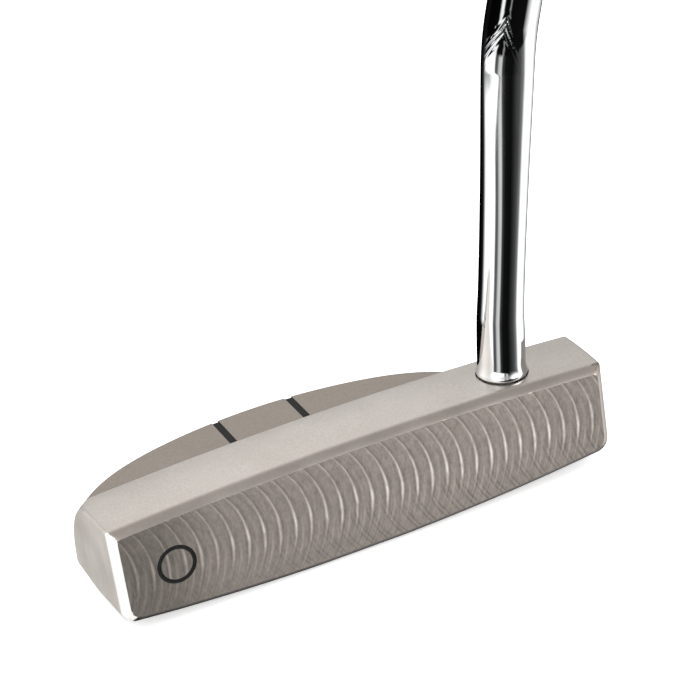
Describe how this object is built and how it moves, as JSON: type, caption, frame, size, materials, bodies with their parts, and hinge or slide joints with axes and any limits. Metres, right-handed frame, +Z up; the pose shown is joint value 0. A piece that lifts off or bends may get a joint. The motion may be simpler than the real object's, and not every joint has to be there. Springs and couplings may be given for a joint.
{
  "type": "golf putter",
  "caption": "Heel-shafted golf putter: milled steel head with a straight striking bar and a half-moon flange, double-bend chromed steel shaft and flat-fronted rubber grip.",
  "frame": {"origin": "on the flat at the middle of the sole, under the middle of the head's straight bar", "axes": "+Z up, +X towards the heel and the player, -Y out of the striking face towards the target"},
  "size_m": [0.3613, 0.0557, 0.813],
  "materials": {
    "milled_steel": "satin nickel over milled steel, with curved cutter marks on the face",
    "shaft_chrome": "polished chrome plate",
    "black_paint": "black enamel paint in milled grooves",
    "epoxy": "cured dark epoxy adhesive",
    "tape_cloth": "paper-backed double-sided tape",
    "grip_rubber": "matt black moulded rubber"
  },
  "bodies": {
    "root": {"putter_head": "milled_steel", "sight_line_toe": "black_paint", "sight_line_heel": "black_paint", "face_mark": "black_paint", "shaft": "shaft_chrome", "epoxy_bond": "epoxy", "grip_tape": "tape_cloth", "grip": "grip_rubber", "grip_cap": "grip_rubber"}
  },
  "joints": []
}
